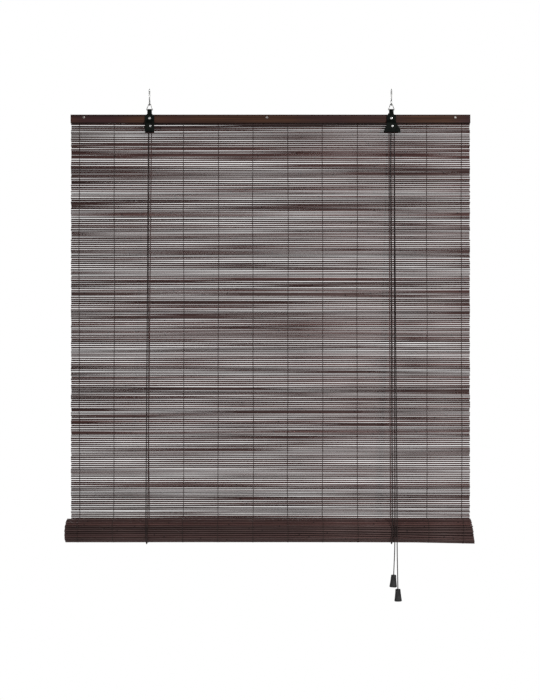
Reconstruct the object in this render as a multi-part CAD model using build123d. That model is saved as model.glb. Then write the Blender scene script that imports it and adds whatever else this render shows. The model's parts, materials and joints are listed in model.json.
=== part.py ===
"""Bamboo roll-up blind that hangs from two ceiling hooks, half a metre of its mat rolled up.

Millimetres, +Z up, +X to the right of someone facing the blind, front towards -Y.
The origin is on the ceiling, midway between the two hook shanks.
"""
from build123d import *
import math
import os

# ---------------------------------------------------------------- driving sizes
# Mat of split bamboo
MAT_WIDTH = 900.0
SLAT_HEIGHT = 3.0
SLAT_THICKNESS = 2.2
SLAT_PITCH = 4.75
THREAD_COUNT = 12
THREAD_EDGE_MARGIN = 19.0
THREAD_WIDTH = 1.2
THREAD_THICKNESS = 0.5

# Head rail: two battens with the top of the mat between them
RAIL_HEIGHT = 19.0
BATTEN_THICKNESS = 7.0
CEILING_TO_RAIL = 40.0
HEADING_SLATS = 4

# Roll at the bottom
RAIL_TOP_TO_ROLL_AXIS = 933.5
ROLL_LAYER_THICKNESS = 2.4
ROLL_LAYER_PITCH = 3.3
ROLL_HALF_TURNS = 9
ROLL_SIDE_SHIFT = -2.0
BOTTOM_BATTEN_HEIGHT = 22.0
BOTTOM_BATTEN_THICKNESS = 8.0
BATTEN_SEAT_CLEARANCE = 0.15

# Cords
CORD_DIAMETER = 2.2
CORD_TO_ROLL_CLEARANCE = 0.3
CORD_HOLE_CLEARANCE = 0.25
KNOT_RADIUS = 2.4
LEFT_REAR_CORD_TOP_X = -268.5
RIGHT_REAR_CORD_TOP_X = 267.5
LEFT_CORD_BOTTOM_X = -277.0
RIGHT_CORD_BOTTOM_X = 271.0

# Brackets and their hangers
BRACKET_SPACING = 544.0
BRACKET_WIDTH = 21.0
LOCK_SKIRT = 6.0
TAB_WIDTH = 10.4
CURL_TO_CORNER = 2.65
STEEL_THICKNESS = 1.2
HOUSING_BELOW_AXLE = 13.0
JOG_START = 14.0
RING_WIRE_DIAMETER = 1.9
RING_BASE_LENGTH = 14.5
RING_RISE = 13.8
RING_CORNER_RADIUS = 1.6
CURL_CLEARANCE = 0.35
RAIL_TO_RING_BAR = 9.7
HOOK_WIRE_DIAMETER = 2.7
HOOK_THREAD_DIAMETER = 3.0
HOOK_THREAD_LENGTH = 14.0
HOOK_LOOP_RADIUS = 5.5
HOOK_BEND_RADIUS = 2.5
HOOK_CLEARANCE = 0.2
HOOK_TIP_ANGLE = 190.0

# Pulleys, rivets and the cord lock
AXLE_SIDE_SHIFT = 2.0
AXLE_DIAMETER = 2.8
RIVET_HEAD_DIAMETER = 4.8
RIVET_HEAD_HEIGHT = 1.0
AXLE_CLEARANCE = 0.05
PULLEY_HUB_WALL = 1.35
PULLEY_RIM_OVER_CORD = 0.7
PULLEY_CORD_CLEARANCE = 0.3
PULLEY_SIDE_CLEARANCE = 0.3
GROOVE_CLEARANCE = 0.35
GROOVE_MIDDLE_WALL = 0.3
GROOVE_OUTER_WALL = 0.45
CAM_TOOTH_RADIUS = 5.8
CAM_PIVOT_DROP = 4.5
CAM_SIDE_CLEARANCE = 0.5
CAM_CORD_CLEARANCE = 0.3
CAM_HUB_RADIUS = 4.9
CAM_TOOTH_HEIGHT = 0.9

# Screws
SCREW_DIAMETER = 3.0
SCREW_HEAD_DIAMETER = 6.0
SCREW_HEAD_HEIGHT = 2.0
SCREW_CLEARANCE = 0.05
SCREW_LENGTH = 14.0
BRACKET_SCREW_DROP = 8.8
RAIL_SCREW_DROP = 6.5
RAIL_SCREW_X = (-420.0, -8.0, 416.0)

# Knobs on the ends of the pull cords
KNOB_HEIGHT = 27.5
KNOB_TOP_DIAMETER = 11.5
KNOB_BOTTOM_DIAMETER = 17.0
KNOB_HOLE_CLEARANCE = 0.25
KNOB_RECESS_DIAMETER = 7.4
KNOB_RECESS_DEPTH = 9.0
KNOB_EDGE_RADIUS = 1.8
KNOB_TOP_EDGE_RADIUS = 1.0

# Pull cords below the roll: x, y from the roll's front cord line, z below the roll's axis
LEFT_TAIL_ROUTE = ((276.9, 0.0, 0.0), (276.7, -0.2, 34.0), (275.3, -0.2, 68.0), (274.1, 0.0, 96.5))
RIGHT_TAIL_ROUTE = ((281.7, 0.0, 0.0), (281.8, -0.2, 42.0), (282.7, -0.2, 86.0), (283.5, 0.0, 128.0))

# ---------------------------------------------------------------- derived sizes
CORD_R = CORD_DIAMETER / 2
RING_R = RING_WIRE_DIAMETER / 2
HOOK_R = HOOK_WIRE_DIAMETER / 2

RAIL_TOP = -CEILING_TO_RAIL
RAIL_BOTTOM = RAIL_TOP - RAIL_HEIGHT
ROLL_Z = RAIL_TOP - RAIL_TOP_TO_ROLL_AXIS

RING_Y = HOOK_BEND_RADIUS
RAIL_FRONT_Y = RING_Y + STEEL_THICKNESS
MAT_FRONT_Y = RAIL_FRONT_Y + BATTEN_THICKNESS
MAT_BACK_Y = MAT_FRONT_Y + SLAT_THICKNESS
MAT_Y = (MAT_FRONT_Y + MAT_BACK_Y) / 2
RAIL_BACK_Y = MAT_BACK_Y + BATTEN_THICKNESS
CORD_HOLE_Y = MAT_BACK_Y + BATTEN_THICKNESS / 2

CORE_RADIUS = math.hypot(BOTTOM_BATTEN_HEIGHT / 2, BOTTOM_BATTEN_THICKNESS / 2) + BATTEN_SEAT_CLEARANCE
ROLL_MID_RADIUS = CORE_RADIUS + ROLL_LAYER_THICKNESS / 2 + (ROLL_HALF_TURNS - 1) * ROLL_LAYER_PITCH / 2
ROLL_RADIUS = ROLL_MID_RADIUS + ROLL_LAYER_THICKNESS / 2
ROLL_Y = MAT_Y - ROLL_MID_RADIUS
SLING_RADIUS = ROLL_RADIUS + CORD_TO_ROLL_CLEARANCE + CORD_R
ROLL_FRONT_CORD_Y = ROLL_Y - SLING_RADIUS
ROLL_REAR_CORD_Y = ROLL_Y + SLING_RADIUS

CURL_WIDTH = RING_BASE_LENGTH - 2 * CURL_TO_CORNER
AXLE_BORE_R = AXLE_DIAMETER / 2 + AXLE_CLEARANCE
PULLEY_CORD_RADIUS = AXLE_BORE_R + PULLEY_HUB_WALL + PULLEY_CORD_CLEARANCE + CORD_R
PULLEY_RIM_RADIUS = PULLEY_CORD_RADIUS + CORD_R + PULLEY_RIM_OVER_CORD
GROOVE_WIDTH = CORD_DIAMETER + 2 * GROOVE_CLEARANCE
CORD_SPACING_IN_LOCK = GROOVE_WIDTH + GROOVE_MIDDLE_WALL
HOUSING_DEPTH = GROOVE_WIDTH + CORD_SPACING_IN_LOCK + 2 * (GROOVE_OUTER_WALL + PULLEY_SIDE_CLEARANCE)
AXLE_BELOW_RAIL_TOP = JOG_START + HOUSING_DEPTH - STEEL_THICKNESS / 2 + PULLEY_RIM_RADIUS

PLATE_BACK_Y = RAIL_FRONT_Y
PLATE_MID_Y = RAIL_FRONT_Y - STEEL_THICKNESS
PLATE_FRONT_Y = RAIL_FRONT_Y - 2 * STEEL_THICKNESS
CAVITY_FRONT_Y = PLATE_MID_Y - HOUSING_DEPTH
HOUSING_FRONT_Y = CAVITY_FRONT_Y - STEEL_THICKNESS
CAVITY_MID_Y = (PLATE_MID_Y + CAVITY_FRONT_Y) / 2
FRONT_GROOVE_Y = CAVITY_MID_Y - CORD_SPACING_IN_LOCK / 2
REAR_GROOVE_Y = CAVITY_MID_Y + CORD_SPACING_IN_LOCK / 2
RING_BAR_Z = RAIL_TOP + RAIL_TO_RING_BAR
RING_APEX_Z = RING_BAR_Z + RING_RISE
HOOK_LOOP_Z = RING_APEX_Z - RING_R - HOOK_CLEARANCE - HOOK_R + HOOK_LOOP_RADIUS
HOUSING_BOTTOM_Z = RAIL_TOP - AXLE_BELOW_RAIL_TOP - HOUSING_BELOW_AXLE
CORD_EXIT_Z = HOUSING_BOTTOM_Z - 1.0
AXLE_Z = RAIL_TOP - AXLE_BELOW_RAIL_TOP
LEFT_X = -BRACKET_SPACING / 2
RIGHT_X = BRACKET_SPACING / 2
LEFT_AXLE_X = LEFT_X + AXLE_SIDE_SHIFT
RIGHT_AXLE_X = RIGHT_X + AXLE_SIDE_SHIFT
CAM_X = RIGHT_AXLE_X + PULLEY_CORD_RADIUS + CORD_R + CAM_CORD_CLEARANCE + CAM_TOOTH_RADIUS
CAM_Z = AXLE_Z - CAM_PIVOT_DROP
HANGING_SLATS = int((RAIL_BOTTOM - ROLL_Z) / SLAT_PITCH)


# ---------------------------------------------------------------- helpers
def block(x0, x1, y0, y1, z0, z1):
    """A box between two corners."""
    return Pos((x0 + x1) / 2, (y0 + y1) / 2, (z0 + z1) / 2) * Box(x1 - x0, y1 - y0, z1 - z0)


def rod_y(x, z, y0, y1, radius):
    """A round rod along Y."""
    return Pos(x, (y0 + y1) / 2, z) * Rot(90, 0, 0) * Cylinder(radius, y1 - y0)


def rod_z(x, y, z0, z1, radius):
    """A round rod along Z."""
    return Pos(x, y, (z0 + z1) / 2) * Cylinder(radius, z1 - z0)


def outline_yz(points, x0, x1):
    """A closed outline of (y, z) points, solid from x0 to x1."""
    face = Plane.YZ * make_face(Polyline(*points, close=True))
    return Pos(x0, 0, 0) * extrude(face, amount=x1 - x0, dir=(1, 0, 0))


def outline_xz(points, y0, y1):
    """A closed outline of (x, z) points, solid from y0 to y1."""
    face = Plane((0, y0, 0), x_dir=(1, 0, 0), z_dir=(0, -1, 0)) * make_face(Polyline(*points, close=True))
    return extrude(face, amount=y1 - y0, dir=(0, 1, 0))


def tube(path, radius):
    """A round tube along a path of runs and tangent arcs."""
    start = path @ 0
    section = Plane(origin=start, z_dir=path % 0) * Circle(radius)
    return sweep(section, path=path)


def straight_cord(start, end):
    """A tight cord between two points, its ends cut level so that it meets the next stretch."""
    along = (Vector(*end) - Vector(*start)).normalized() * CORD_DIAMETER
    full = tube(Line(Vector(*start) - along, Vector(*end) + along), CORD_R)
    left = min(start[0], end[0]) - CORD_DIAMETER
    right = max(start[0], end[0]) + CORD_DIAMETER
    front = min(start[1], end[1]) - CORD_DIAMETER
    back = max(start[1], end[1]) + CORD_DIAMETER
    return full & block(left, right, front, back, end[2], start[2])


def rounded_route(points):
    """Straight runs joined by the largest tangent arcs that the runs leave room for."""
    radii = []
    for before, here, after in zip(points, points[1:], points[2:]):
        run_in = Vector(*here) - Vector(*before)
        run_out = Vector(*after) - Vector(*here)
        half_turn = math.radians(run_in.get_angle(run_out) / 2)
        radii.append(0.45 * min(run_in.length, run_out.length) / math.tan(half_turn))
    return FilletPolyline(*points, radius=radii), radii


def write(name, shape):
    """One STEP file for a node."""
    shape.label = name
    export_step(shape, f"parts/{name}.step")


# ---------------------------------------------------------------- ceiling hooks and rings
def ceiling_hook(x):
    """A screw hook: threaded shank, short bend and a loop that stays open towards the front."""
    loop_top = HOOK_LOOP_Z + HOOK_LOOP_RADIUS
    bend_start = (x, 0, loop_top + HOOK_BEND_RADIUS)
    loop_start = (x, HOOK_BEND_RADIUS, loop_top)
    half = HOOK_BEND_RADIUS * math.sqrt(0.5)
    bend_middle = (x, HOOK_BEND_RADIUS - half, loop_top + HOOK_BEND_RADIUS - half)
    shank = Line((x, 0, 0), bend_start)
    bend = ThreePointArc(bend_start, bend_middle, loop_start)

    def on_loop(degrees):
        """A point of the loop, counted from its top towards the wall."""
        angle = math.radians(degrees)
        y = RING_Y + HOOK_LOOP_RADIUS * math.sin(angle)
        return (x, y, HOOK_LOOP_Z + HOOK_LOOP_RADIUS * math.cos(angle))

    tip_turn = 90 + HOOK_TIP_ANGLE
    loop = ThreePointArc(loop_start, on_loop(tip_turn / 2), on_loop(tip_turn))
    wire = tube(Wire([shank, bend, loop]), HOOK_R)
    tip = Pos(*on_loop(tip_turn)) * Sphere(HOOK_R)
    thread = rod_z(x, 0, 0, HOOK_THREAD_LENGTH, HOOK_THREAD_DIAMETER / 2)
    point = Pos(x, 0, HOOK_THREAD_LENGTH + 2.0) * Cone(HOOK_THREAD_DIAMETER / 2, 0.3, 4.0)
    return wire + tip + thread + point


def hanger_ring(x):
    """A triangular wire ring, base through the bracket's curl and apex over the hook."""
    base_corner = RING_BASE_LENGTH / 2
    apex_radius = HOOK_R + RING_R + HOOK_CLEARANCE
    lean = (apex_radius / base_corner) ** 2
    below = RING_RISE - apex_radius
    height = (below + math.sqrt(below ** 2 - (1 - lean) * (below ** 2 - apex_radius ** 2))) / (1 - lean)
    apex_vertex = RING_BAR_Z + height
    route = FilletPolyline(
        (x + base_corner, RING_Y, RING_BAR_Z),
        (x, RING_Y, apex_vertex),
        (x - base_corner, RING_Y, RING_BAR_Z),
        radius=[RING_CORNER_RADIUS, apex_radius, RING_CORNER_RADIUS],
        close=True,
    )
    return tube(route, RING_R)


# ---------------------------------------------------------------- brackets
def strap(x0, x1, bottom_z):
    """The bracket's steel strip seen from the side: up the rail, round the ring's bar, down and out."""
    inner = RING_R + CURL_CLEARANCE
    middle = inner + STEEL_THICKNESS / 2
    half_step = STEEL_THICKNESS / 2
    foot = RING_BAR_Z - math.sqrt(middle ** 2 - half_step ** 2)
    jog_top = RAIL_TOP - JOG_START
    jog_bottom = jog_top - HOUSING_DEPTH + STEEL_THICKNESS
    back_leg = block(x0, x1, PLATE_MID_Y, PLATE_BACK_Y, bottom_z, foot)
    front_leg = block(x0, x1, PLATE_FRONT_Y, PLATE_MID_Y, jog_top, foot)
    jog = outline_yz(
        (
            (PLATE_MID_Y, jog_top + STEEL_THICKNESS),
            (PLATE_FRONT_Y, jog_top + STEEL_THICKNESS),
            (HOUSING_FRONT_Y, jog_bottom),
            (HOUSING_FRONT_Y, bottom_z),
            (CAVITY_FRONT_Y, bottom_z),
            (CAVITY_FRONT_Y, jog_bottom - STEEL_THICKNESS / 2),
            (PLATE_MID_Y, jog_top - STEEL_THICKNESS / 2),
        ),
        x0,
        x1,
    )
    eye = Pos((x0 + x1) / 2, RING_Y, RING_BAR_Z) * Rot(0, 90, 0) * Cylinder(middle + half_step, x1 - x0)
    bore = Pos((x0 + x1) / 2, RING_Y, RING_BAR_Z) * Rot(0, 90, 0) * Cylinder(inner, x1 - x0)
    return back_leg + front_leg + jog + eye - bore


def bracket_outline(x, right_side):
    """The strip's outline from the front, as (x, z) points: curl, tab, shoulders and housing."""
    top = RING_BAR_Z + RING_R + CURL_CLEARANCE + 2 * STEEL_THICKNESS
    half = BRACKET_WIDTH / 2
    left_flank = [(x - half, HOUSING_BOTTOM_Z)]
    right_flank = [(x + half, HOUSING_BOTTOM_Z)]
    if right_side:
        ear = CAM_X + AXLE_DIAMETER / 2 + 5.2
        right_flank = [(ear, HOUSING_BOTTOM_Z), (ear, HOUSING_BOTTOM_Z + 4.0), (x + half, AXLE_Z + 7.0)]
        skirt = x - half - LOCK_SKIRT
        left_flank = [(x - half, AXLE_Z + 5.0), (skirt, HOUSING_BOTTOM_Z + 4.0), (skirt, HOUSING_BOTTOM_Z)]
    return (
        [(x - CURL_WIDTH / 2, top), (x - TAB_WIDTH / 2, RING_BAR_Z - 4.0), (x - TAB_WIDTH / 2, RAIL_TOP + 1.5)]
        + [(x - half, RAIL_TOP - 3.5)]
        + left_flank
        + right_flank
        + [(x + half, RAIL_TOP - 3.5), (x + TAB_WIDTH / 2, RAIL_TOP + 1.5)]
        + [(x + TAB_WIDTH / 2, RING_BAR_Z - 4.0), (x + CURL_WIDTH / 2, top)]
    )


def bracket(x, right_side):
    """A hanger bracket that is also the pulley's housing; the right one has an ear for the cord lock."""
    axle_x = x + AXLE_SIDE_SHIFT
    reach = BRACKET_WIDTH
    body = strap(x - reach, x + reach, HOUSING_BOTTOM_Z)
    body = body & outline_xz(bracket_outline(x, right_side), HOUSING_FRONT_Y - 5, RAIL_FRONT_Y + 10)
    body -= rod_y(axle_x, AXLE_Z, HOUSING_FRONT_Y - 1, PLATE_BACK_Y + 1, AXLE_BORE_R)
    screw_hole = SCREW_DIAMETER / 2 + SCREW_CLEARANCE
    body -= rod_y(x, RAIL_TOP - BRACKET_SCREW_DROP, HOUSING_FRONT_Y, PLATE_BACK_Y + 1, screw_hole)
    if right_side:
        body -= rod_y(CAM_X, CAM_Z, HOUSING_FRONT_Y - 1, PLATE_BACK_Y + 1, AXLE_BORE_R)
    return body


def screw(x, z, seat_y, length):
    """A pan-head wood screw driven towards the wall."""
    head = rod_y(x, z, seat_y - SCREW_HEAD_HEIGHT, seat_y, SCREW_HEAD_DIAMETER / 2)
    rim = head.edges().filter_by(GeomType.CIRCLE).sort_by(Axis.Y)[0]
    head = fillet(rim, SCREW_HEAD_HEIGHT * 0.6)
    slot = block(x - SCREW_HEAD_DIAMETER * 0.3, x + SCREW_HEAD_DIAMETER * 0.3,
                 seat_y - SCREW_HEAD_HEIGHT - 1, seat_y - SCREW_HEAD_HEIGHT + 0.8, z - 0.35, z + 0.35)
    cross = block(x - 0.35, x + 0.35, seat_y - SCREW_HEAD_HEIGHT - 1, seat_y - SCREW_HEAD_HEIGHT + 0.8,
                  z - SCREW_HEAD_DIAMETER * 0.3, z + SCREW_HEAD_DIAMETER * 0.3)
    return head - slot - cross + rod_y(x, z, seat_y, seat_y + length, SCREW_DIAMETER / 2)


def bracket_screws():
    """The two screws that hold the brackets to the head rail."""
    z = RAIL_TOP - BRACKET_SCREW_DROP
    return [screw(x, z, PLATE_FRONT_Y, SCREW_LENGTH) for x in (LEFT_X, RIGHT_X)]


def rail_screws():
    """The screws that clamp the mat between the two battens."""
    z = RAIL_TOP - RAIL_SCREW_DROP
    return [screw(x, z, RAIL_FRONT_Y, SCREW_LENGTH) for x in RAIL_SCREW_X]


def rivet(x, z):
    """An axle rivet through both plates of a housing, with a domed head at the front."""
    shaft = rod_y(x, z, HOUSING_FRONT_Y, PLATE_BACK_Y, AXLE_DIAMETER / 2)
    head = rod_y(x, z, HOUSING_FRONT_Y - RIVET_HEAD_HEIGHT, HOUSING_FRONT_Y, RIVET_HEAD_DIAMETER / 2)
    rim = head.edges().filter_by(GeomType.CIRCLE).sort_by(Axis.Y)[0]
    return fillet(rim, RIVET_HEAD_HEIGHT * 0.7) + shaft


# ---------------------------------------------------------------- pulleys and cord lock
def pulley(x, grooves, hub_reach):
    """A grooved wheel on an axle along Y, its hub filling the housing's depth."""
    floor = PULLEY_CORD_RADIUS - CORD_R - PULLEY_CORD_CLEARANCE
    y0 = CAVITY_FRONT_Y + PULLEY_SIDE_CLEARANCE
    y1 = PLATE_MID_Y - PULLEY_SIDE_CLEARANCE
    wheel = rod_y(x, AXLE_Z, y0, hub_reach, PULLEY_RIM_RADIUS)
    for groove_y in grooves:
        half = GROOVE_WIDTH / 2
        slope = half * 0.25
        profile = make_face(Polyline(
            (PULLEY_RIM_RADIUS + 1, groove_y + half),
            (PULLEY_RIM_RADIUS + 1, groove_y - half),
            (PULLEY_RIM_RADIUS, groove_y - half),
            (floor, groove_y - half + slope),
            (floor, groove_y + half - slope),
            (PULLEY_RIM_RADIUS, groove_y + half),
            close=True,
        ))
        wheel -= Pos(x, 0, AXLE_Z) * revolve(profile, Axis.Y)
    if y1 - hub_reach > 0.05:
        wheel += rod_y(x, AXLE_Z, hub_reach, y1, floor - 0.1)
    return wheel - rod_y(x, AXLE_Z, y0 - 1, y1 + 1, AXLE_BORE_R)


def left_pulley():
    """One groove, for the left lift cord."""
    return pulley(LEFT_AXLE_X, (FRONT_GROOVE_Y,), CAVITY_MID_Y)


def right_pulley():
    """Two grooves, for both lift cords."""
    full = PLATE_MID_Y - PULLEY_SIDE_CLEARANCE
    return pulley(RIGHT_AXLE_X, (FRONT_GROOVE_Y, REAR_GROOVE_Y), full)


def lock_cam():
    """The toothed cam that nips the cords, with its tail reaching out below the ear."""
    y0 = CAVITY_FRONT_Y + CAM_SIDE_CLEARANCE
    y1 = PLATE_MID_Y - CAM_SIDE_CLEARANCE
    cam = rod_y(CAM_X, CAM_Z, y0, y1, CAM_HUB_RADIUS)
    tail = (
        (CAM_X - 1.5, CAM_Z - 4.2),
        (CAM_X + 1.8, HOUSING_BOTTOM_Z - 2.0),
        (CAM_X + 8.0, HOUSING_BOTTOM_Z - 2.0),
        (CAM_X + 4.0, CAM_Z + 1.5),
        (CAM_X, CAM_Z),
    )
    cam += outline_xz(tail, y0, y1)
    root = CAM_TOOTH_RADIUS - CAM_TOOTH_HEIGHT - 0.4
    for angle in range(172, 233, 12):
        ahead = math.radians(angle + 5.5)
        tip = math.radians(angle)
        behind = math.radians(angle - 5.5)
        tooth = (
            (CAM_X + root * math.cos(behind), CAM_Z + root * math.sin(behind)),
            (CAM_X + CAM_TOOTH_RADIUS * math.cos(tip), CAM_Z + CAM_TOOTH_RADIUS * math.sin(tip)),
            (CAM_X + root * math.cos(ahead), CAM_Z + root * math.sin(ahead)),
            (CAM_X + 2 * math.cos(tip), CAM_Z + 2 * math.sin(tip)),
        )
        cam += outline_xz(tooth, y0, y1)
    return cam - rod_y(CAM_X, CAM_Z, y0 - 1, y1 + 1, AXLE_BORE_R)


# ---------------------------------------------------------------- head rail
def screw_bores():
    """Every hole that the screws need behind the rail's front face."""
    radius = SCREW_DIAMETER / 2 + SCREW_CLEARANCE
    end = RAIL_FRONT_Y + SCREW_LENGTH + 0.3
    bores = [rod_y(x, RAIL_TOP - RAIL_SCREW_DROP, RAIL_FRONT_Y - 1, end, radius) for x in RAIL_SCREW_X]
    bores += [rod_y(x, RAIL_TOP - BRACKET_SCREW_DROP, RAIL_FRONT_Y - 1, end, radius) for x in (LEFT_X, RIGHT_X)]
    return bores


def batten(y0, y1):
    """One long strip of the head rail, its long edges eased."""
    strip = block(-MAT_WIDTH / 2, MAT_WIDTH / 2, y0, y1, RAIL_BOTTOM, RAIL_TOP)
    strip = fillet(strip.edges().filter_by(Axis.X), 0.8)
    for bore in screw_bores():
        strip -= bore
    return strip


def back_batten():
    """The rear strip, with an upright hole for each lift cord."""
    strip = batten(MAT_BACK_Y, RAIL_BACK_Y)
    for x in (LEFT_REAR_CORD_TOP_X, RIGHT_REAR_CORD_TOP_X):
        strip -= rod_z(x, CORD_HOLE_Y, RAIL_BOTTOM - 1, RAIL_TOP + 1, CORD_R + CORD_HOLE_CLEARANCE)
    return strip


def heading_slats():
    """The slats at the mat's top edge, clamped in the head rail."""
    pitch = RAIL_HEIGHT / HEADING_SLATS
    slats = []
    for index in range(HEADING_SLATS):
        z = RAIL_TOP - (index + 0.5) * pitch
        half = SLAT_HEIGHT / 2
        slat = block(-MAT_WIDTH / 2, MAT_WIDTH / 2, MAT_FRONT_Y, MAT_BACK_Y, z - half, z + half)
        for bore in screw_bores():
            slat -= bore
        slats.append(slat)
    return slats


# ---------------------------------------------------------------- mat
def hanging_slats():
    """The slats of the part of the mat that hangs."""
    slats = []
    for index in range(HANGING_SLATS):
        z = RAIL_BOTTOM - (index + 0.5) * SLAT_PITCH
        half = SLAT_HEIGHT / 2
        slats.append(block(-MAT_WIDTH / 2, MAT_WIDTH / 2, MAT_FRONT_Y, MAT_BACK_Y, z - half, z + half))
    return slats


def thread_places():
    """The x of each pair of warp threads."""
    span = MAT_WIDTH - 2 * THREAD_EDGE_MARGIN
    step = span / (THREAD_COUNT - 1)
    return [THREAD_EDGE_MARGIN - MAT_WIDTH / 2 + index * step for index in range(THREAD_COUNT)]


def warp_threads():
    """A thread down the front and one down the back of the mat at each place."""
    bottom = RAIL_BOTTOM - HANGING_SLATS * SLAT_PITCH
    half = THREAD_WIDTH / 2
    threads = []
    for x in thread_places():
        threads.append(block(x - half, x + half, MAT_FRONT_Y - THREAD_THICKNESS, MAT_FRONT_Y, bottom, RAIL_BOTTOM))
        threads.append(block(x - half, x + half, MAT_BACK_Y, MAT_BACK_Y + THREAD_THICKNESS, bottom, RAIL_BOTTOM))
    return threads


def rolled_mat():
    """The rolled part of the mat: half turns that grow by half the layer pitch, in one piece."""
    half = ROLL_LAYER_THICKNESS / 2
    innermost = CORE_RADIUS + half
    grow = ROLL_LAYER_PITCH / 2
    outer_edges = []
    inner_edges = []
    for index in range(ROLL_HALF_TURNS):
        radius = innermost + index * grow
        below = (ROLL_HALF_TURNS - 1 - index) % 2 == 0
        centre = 0.0 if below else -grow
        side = -1 if below else 1
        for edges, edge_radius in ((outer_edges, radius + half), (inner_edges, radius - half)):
            edges.append(ThreePointArc(
                (centre + edge_radius, 0), (centre, side * edge_radius), (centre - edge_radius, 0)))
    last = innermost + (ROLL_HALF_TURNS - 1) * grow
    free_end = -innermost if ROLL_HALF_TURNS % 2 == 1 else innermost - grow
    inner_end = Line((free_end - half, 0), (free_end + half, 0))
    outer_end = Line((last - half, 0), (last + half, 0))
    spiral = make_face(Wire([*outer_edges, outer_end, *inner_edges, inner_end]))
    x0 = ROLL_SIDE_SHIFT - MAT_WIDTH / 2
    band = Pos(x0, ROLL_Y, ROLL_Z) * extrude(Plane.YZ * spiral, amount=MAT_WIDTH, dir=(1, 0, 0))
    return band


def bottom_batten():
    """The strip at the mat's lower edge, in the middle of the roll."""
    x0 = ROLL_SIDE_SHIFT - MAT_WIDTH / 2
    half_y = BOTTOM_BATTEN_THICKNESS / 2
    half_z = BOTTOM_BATTEN_HEIGHT / 2
    return block(x0, x0 + MAT_WIDTH, ROLL_Y - half_y, ROLL_Y + half_y, ROLL_Z - half_z, ROLL_Z + half_z)


# ---------------------------------------------------------------- cords
def quarter(x, y, z, from_x):
    """The arc from beside a pulley to its top, at the cord's centre line."""
    side = 1 if from_x > x else -1
    diagonal = PULLEY_CORD_RADIUS * math.sqrt(0.5)
    start = (x + side * PULLEY_CORD_RADIUS, y, z)
    middle = (x + side * diagonal, y, z + diagonal)
    top = (x, y, z + PULLEY_CORD_RADIUS)
    return start, middle, top


def transfer_cord():
    """The left cord: up over the left pulley, across below the rail, and down through the lock."""
    left_start, left_middle, left_top = quarter(LEFT_AXLE_X, FRONT_GROOVE_Y, AXLE_Z, LEFT_AXLE_X - 1)
    right_start, right_middle, right_top = quarter(RIGHT_AXLE_X, FRONT_GROOVE_Y, AXLE_Z, RIGHT_AXLE_X + 1)
    path = Wire([
        Line((left_start[0], FRONT_GROOVE_Y, CORD_EXIT_Z), left_start),
        ThreePointArc(left_start, left_middle, left_top),
        Line(left_top, right_top),
        ThreePointArc(right_top, right_middle, right_start),
        Line(right_start, (right_start[0], FRONT_GROOVE_Y, CORD_EXIT_Z)),
    ])
    return tube(path, CORD_R)


def right_lock_cord():
    """The right cord: up over the double pulley and down through the lock."""
    up_x = RIGHT_AXLE_X - PULLEY_CORD_RADIUS
    down_x = RIGHT_AXLE_X + PULLEY_CORD_RADIUS
    path = Wire([
        Line((up_x, REAR_GROOVE_Y, CORD_EXIT_Z), (up_x, REAR_GROOVE_Y, AXLE_Z)),
        ThreePointArc((up_x, REAR_GROOVE_Y, AXLE_Z), (RIGHT_AXLE_X, REAR_GROOVE_Y, AXLE_Z + PULLEY_CORD_RADIUS),
                      (down_x, REAR_GROOVE_Y, AXLE_Z)),
        Line((down_x, REAR_GROOVE_Y, AXLE_Z), (down_x, REAR_GROOVE_Y, CORD_EXIT_Z)),
    ])
    return tube(path, CORD_R)


def anchor_knot(x):
    """The knot that ties a lift cord on top of the rear batten, and the cord in the batten's hole."""
    knot = Pos(x, CORD_HOLE_Y, RAIL_TOP + KNOT_RADIUS * 0.9) * Sphere(KNOT_RADIUS)
    knot -= block(x - 5, x + 5, CORD_HOLE_Y - 5, CORD_HOLE_Y + 5, RAIL_TOP - 5, RAIL_TOP)
    return knot + rod_z(x, CORD_HOLE_Y, RAIL_BOTTOM, RAIL_TOP + KNOT_RADIUS, CORD_R)


def sling(x):
    """The bight of a lift cord under the roll."""
    path = ThreePointArc(
        (x, ROLL_FRONT_CORD_Y, ROLL_Z), (x, ROLL_Y, ROLL_Z - SLING_RADIUS), (x, ROLL_REAR_CORD_Y, ROLL_Z))
    return tube(path, CORD_R)


def tail_points(route):
    """A pull cord's route below the roll, ending at the knob's top."""
    return [(x, ROLL_FRONT_CORD_Y + y, ROLL_Z - drop) for x, y, drop in route]


def knob_frame(route):
    """Where a knob hangs: its top, and its axis along the cord's last run."""
    points = tail_points(route)
    axis = (Vector(*points[-1]) - Vector(*points[-2])).normalized()
    return Vector(*points[-1]), axis


def pull_tail(route):
    """The free end of a pull cord, through its knob to the knot in the knob's recess."""
    top, axis = knob_frame(route)
    knot_at = top + axis * (KNOB_HEIGHT - KNOB_RECESS_DEPTH + KNOT_RADIUS * 0.95)
    points = tail_points(route)
    points[-1] = tuple(knot_at)
    path, radii = rounded_route(points)
    print("tail arc radii", [round(radius) for radius in radii], "length", round(path.length, 1))
    above = block(top.X - 20, top.X + 20, top.Y - 20, top.Y + 20, ROLL_Z, ROLL_Z + 5)
    return tube(path, CORD_R) - above + Pos(*knot_at) * Sphere(KNOT_RADIUS)


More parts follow.
